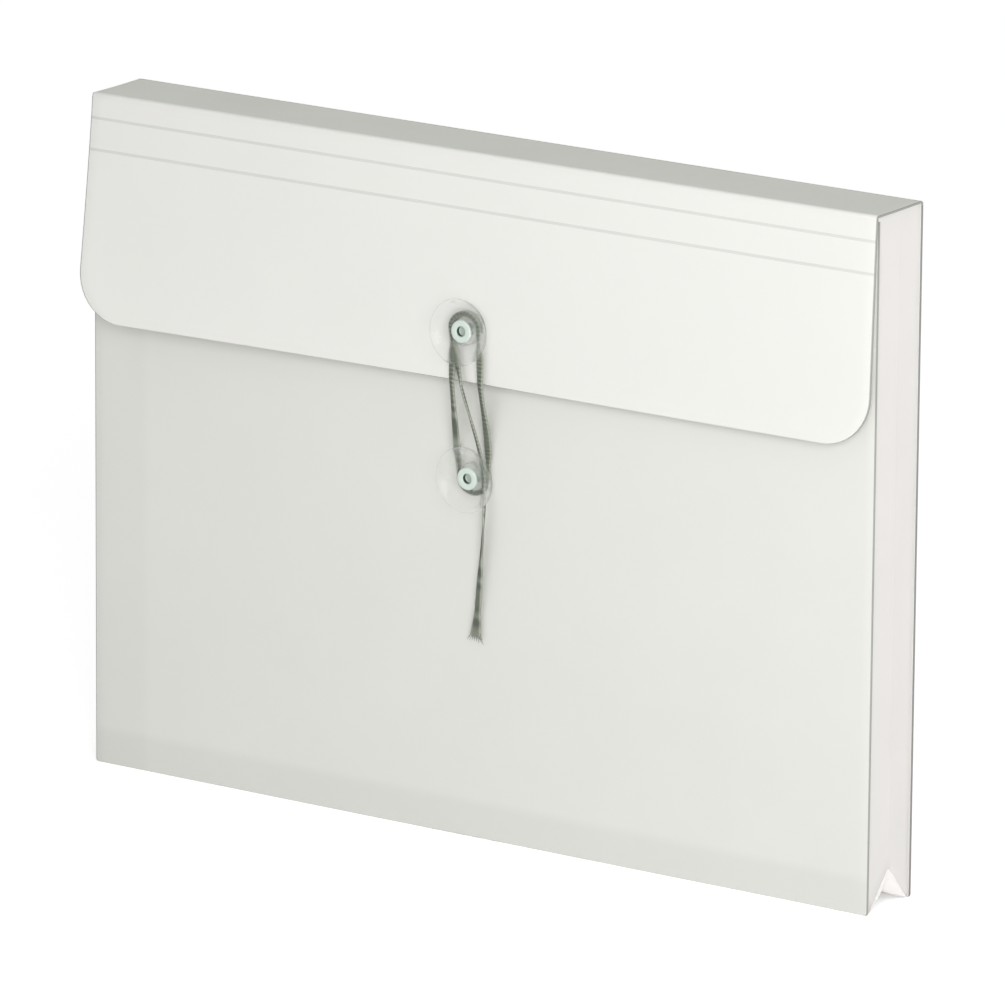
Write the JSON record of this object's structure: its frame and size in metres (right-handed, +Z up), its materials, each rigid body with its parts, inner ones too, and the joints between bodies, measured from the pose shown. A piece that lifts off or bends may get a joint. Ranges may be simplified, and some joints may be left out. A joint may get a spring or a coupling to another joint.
{
  "type": "document case",
  "caption": "Upright document case of frosted plastic sheet with gussets, a long closing flap and a string wound on clear buttons.",
  "frame": {"origin": "under the middle of the whole case, on the surface that it stands on", "axes": "+Z up, -Y to the front with the flap, +X to the right seen from the front"},
  "size_m": [0.332, 0.0414, 0.25],
  "materials": {
    "panel_sheet": "frosted translucent",
    "flap_sheet": "frosted translucent",
    "spine_sheet": "frosted translucent",
    "gusset_sheet": "frosted translucent",
    "clear_disc": "clear",
    "rivet": "satin",
    "washer": "satin",
    "cord": "braided"
  },
  "bodies": {
    "back": {"back_panel": "panel_sheet", "right_back_flange": "gusset_sheet", "left_back_flange": "gusset_sheet", "bottom_back_flange": "gusset_sheet", "right_corner_gore": "gusset_sheet", "left_corner_gore": "gusset_sheet"},
    "spine": {"spine": "spine_sheet"},
    "upper_strip": {"flap_upper_strip": "flap_sheet"},
    "middle_strip": {"flap_middle_strip": "flap_sheet"},
    "flap": {"flap": "flap_sheet", "upper_rivet": "rivet", "upper_washer": "washer", "string": "cord"},
    "upper_disc": {"upper_disc": "clear_disc"},
    "right_rear": {"right_gusset_rear": "gusset_sheet"},
    "right_front": {"right_gusset_front": "gusset_sheet"},
    "front": {"front_panel": "panel_sheet", "right_front_flange": "gusset_sheet", "left_front_flange": "gusset_sheet", "bottom_front_flange": "gusset_sheet", "lower_rivet": "rivet", "lower_washer": "washer"},
    "lower_disc": {"lower_disc": "clear_disc"},
    "left_rear": {"left_gusset_rear": "gusset_sheet"},
    "left_front": {"left_gusset_front": "gusset_sheet"},
    "bottom_rear": {"bottom_gusset_rear": "gusset_sheet"},
    "bottom_front": {"bottom_gusset_front": "gusset_sheet"}
  },
  "joints": [
    {"name": "spine_fold", "type": "hinge", "parent": "back", "child": "spine", "pos_m": [0, 0.02071, 0.25], "axis": [-1, 0, 0], "range_deg": [0, 100]},
    {"name": "flap_fold", "type": "hinge", "parent": "spine", "child": "upper_strip", "pos_m": [0, -0.00909, 0.25], "axis": [-1, 0, 0], "range_deg": [0, 100], "deforming": ["string"]},
    {"name": "upper_score_fold", "type": "hinge", "parent": "upper_strip", "child": "middle_strip", "pos_m": [0, -0.00956, 0.24101], "axis": [-1, 0, 0], "range_deg": [0, 30]},
    {"name": "lower_score_fold", "type": "hinge", "parent": "middle_strip", "child": "flap", "pos_m": [0, -0.01016, 0.22963], "axis": [-1, 0, 0], "range_deg": [0, 30]},
    {"name": "upper_disc_spin", "type": "hinge", "parent": "flap", "child": "upper_disc", "pos_m": [0.0004, -0.01439, 0.18719], "axis": [0, -0.9986, 0.0523], "continuous": true},
    {"name": "gusset_fold", "type": "hinge", "parent": "back", "child": "right_rear", "pos_m": [0.1649, 0.01941, 0.125], "axis": [0, 0, 1], "range_deg": [-85, 0]},
    {"name": "right_middle_fold", "type": "hinge", "parent": "right_rear", "child": "right_front", "pos_m": [0.1654, 0.00641, 0.125], "axis": [0, 0, 1], "range_deg": [0, 170], "deforming": ["right_corner_gore", "left_corner_gore"]},
    {"name": "front_fold", "type": "hinge", "parent": "right_front", "child": "front", "pos_m": [0.1649, -0.00659, 0.125], "axis": [0, 0, 1], "range_deg": [-85, 0]},
    {"name": "left_gusset_fold", "type": "hinge", "parent": "back", "child": "left_rear", "pos_m": [-0.1649, 0.01941, 0.125], "axis": [0, 0, 1], "range_deg": [0, 85]},
    {"name": "left_middle_fold", "type": "hinge", "parent": "left_rear", "child": "left_front", "pos_m": [-0.1654, 0.00641, 0.125], "axis": [0, 0, 1], "range_deg": [-170, 0]},
    {"name": "bottom_rear_fold", "type": "hinge", "parent": "back", "child": "bottom_rear", "pos_m": [0, 0.01941, 0.0006], "axis": [1, 0, 0], "range_deg": [-53, 0]},
    {"name": "bottom_front_fold", "type": "hinge", "parent": "front", "child": "bottom_front", "pos_m": [0, -0.00659, 0.0006], "axis": [1, 0, 0], "range_deg": [0, 53]},
    {"name": "lower_disc_spin", "type": "hinge", "parent": "front", "child": "lower_disc", "pos_m": [0.0004, -0.00989, 0.133], "axis": [0, -1, 0], "continuous": true}
  ],
  "couplings": [
    {"joint": "gusset_fold", "follows": "right_middle_fold", "ratio": -0.5},
    {"joint": "front_fold", "follows": "right_middle_fold", "ratio": -0.5},
    {"joint": "left_gusset_fold", "follows": "right_middle_fold", "ratio": 0.5},
    {"joint": "left_middle_fold", "follows": "right_middle_fold", "ratio": -1},
    {"joint": "bottom_rear_fold", "follows": "right_middle_fold", "ratio": -0.311},
    {"joint": "bottom_front_fold", "follows": "right_middle_fold", "ratio": 0.311}
  ]
}
